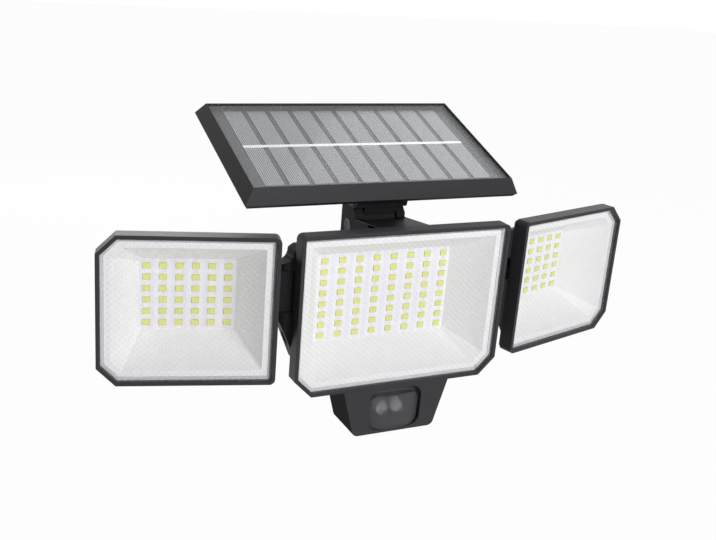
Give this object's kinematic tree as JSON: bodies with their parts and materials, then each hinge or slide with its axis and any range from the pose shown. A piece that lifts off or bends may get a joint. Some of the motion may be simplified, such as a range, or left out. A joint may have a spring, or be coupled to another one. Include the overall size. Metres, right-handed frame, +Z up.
{
  "type": "motion sensor security light",
  "caption": "Solar wall light with a wide middle lamp, two swivelling side lamps, a motion sensor below and a tilting solar panel above.",
  "frame": {"origin": "centre of the wall plate's back face, in the middle of its four screw holes", "axes": "+X to the right of someone facing the light, -Y away from the wall, +Z up"},
  "size_m": [0.4118, 0.175, 0.212],
  "materials": {
    "black_housing": "moulded, fine satin texture",
    "clear_lens": "clear polycarbonate with a fine moulded dot pattern",
    "grey_seal": "soft grey silicone",
    "white_reflector": "white, finely textured",
    "white_board": "white solder mask",
    "led_phosphor": "yellow-green phosphor in a pale package",
    "screw_steel": "black-zinc plated",
    "black_rubber": "moulded",
    "cell_wrap": "shrink film",
    "green_board": "green solder mask",
    "component_black": "moulded resin",
    "button_grey": "satin",
    "smoked_lens": "smoked, polished",
    "detector_can": "plated",
    "panel_glass": "polished",
    "solar_cell": "silicon with fine printed fingers",
    "ribbon_silver": "tinned ribbon",
    "panel_backing": "grey laminate sheet"
  },
  "bodies": {
    "wall_mount": {"wall_plate": "black_housing", "wall_hinge_bolt": "screw_steel", "wall_hinge_nut": "screw_steel"},
    "middle_lamp": {"middle_front_frame": "black_housing", "middle_lens": "clear_lens", "middle_lens_seal": "grey_seal", "middle_reflector": "white_reflector", "middle_led_board": "white_board", "middle_leds": "led_phosphor", "middle_frame_screws": "screw_steel", "middle_housing": "black_housing", "back_cover": "black_housing", "back_cover_seal": "black_rubber", "back_cover_screws": "screw_steel", "battery_cells": "cell_wrap", "battery_holder": "black_housing", "control_board": "green_board", "control_parts": "component_black", "mode_switch": "component_black", "sensor_housing": "black_housing", "sensor_screws": "screw_steel", "sensor_lens": "smoked_lens", "sensor_board": "green_board", "heat_detectors": "detector_can", "panel_hinge_bolt": "screw_steel", "panel_hinge_nut": "screw_steel", "left_hinge_pin": "screw_steel", "right_hinge_pin": "screw_steel"},
    "solar_panel": {"panel_tray": "black_housing", "panel_glass": "panel_glass", "panel_cells": "solar_cell", "panel_ribbon": "ribbon_silver", "panel_backing": "panel_backing", "panel_back_cover": "black_housing", "panel_cover_screws": "screw_steel", "panel_foot": "black_housing", "panel_foot_screws": "screw_steel"},
    "left_knuckle": {"left_knuckle": "black_housing", "left_axle_clip": "screw_steel"},
    "right_knuckle": {"right_knuckle": "black_housing", "right_axle_clip": "screw_steel"},
    "left_lamp": {"left_front_frame": "black_housing", "left_lens": "clear_lens", "left_lens_seal": "grey_seal", "left_reflector": "white_reflector", "left_led_board": "white_board", "left_leds": "led_phosphor", "left_frame_screws": "screw_steel", "left_housing": "black_housing"},
    "right_lamp": {"right_front_frame": "black_housing", "right_lens": "clear_lens", "right_lens_seal": "grey_seal", "right_reflector": "white_reflector", "right_led_board": "white_board", "right_leds": "led_phosphor", "right_frame_screws": "screw_steel", "right_housing": "black_housing"},
    "mode_button": {"mode_button": "button_grey"}
  },
  "joints": [
    {"name": "body_tilt", "type": "hinge", "parent": "wall_mount", "child": "middle_lamp", "pos_m": [0, -0.091, 0.046], "axis": [1, 0, 0], "range_deg": [0, 40]},
    {"name": "panel_tilt", "type": "hinge", "parent": "middle_lamp", "child": "solar_panel", "pos_m": [0, -0.1145, 0.091], "axis": [1, 0, 0], "range_deg": [-18, 18]},
    {"name": "left_swivel", "type": "hinge", "parent": "middle_lamp", "child": "left_knuckle", "pos_m": [-0.082, -0.1567, 0.0625], "axis": [0, 0, 1], "range_deg": [-30, 25]},
    {"name": "right_swivel", "type": "hinge", "parent": "middle_lamp", "child": "right_knuckle", "pos_m": [0.082, -0.1567, 0.0625], "axis": [0, 0, 1], "range_deg": [-25, 30]},
    {"name": "left_nod", "type": "hinge", "parent": "left_knuckle", "child": "left_lamp", "pos_m": [-0.082, -0.1567, 0.0625], "axis": [0.9659, -0.2588, 0], "range_deg": [-30, 45]},
    {"name": "right_nod", "type": "hinge", "parent": "right_knuckle", "child": "right_lamp", "pos_m": [0.082, -0.1567, 0.0625], "axis": [0.9659, 0.2588, 0], "range_deg": [-30, 45]},
    {"name": "button_press", "type": "slide", "parent": "middle_lamp", "child": "mode_button", "axis": [0, -1, 0], "range_m": [0, 0.0012], "stiffness_N_per_m": 400}
  ]
}
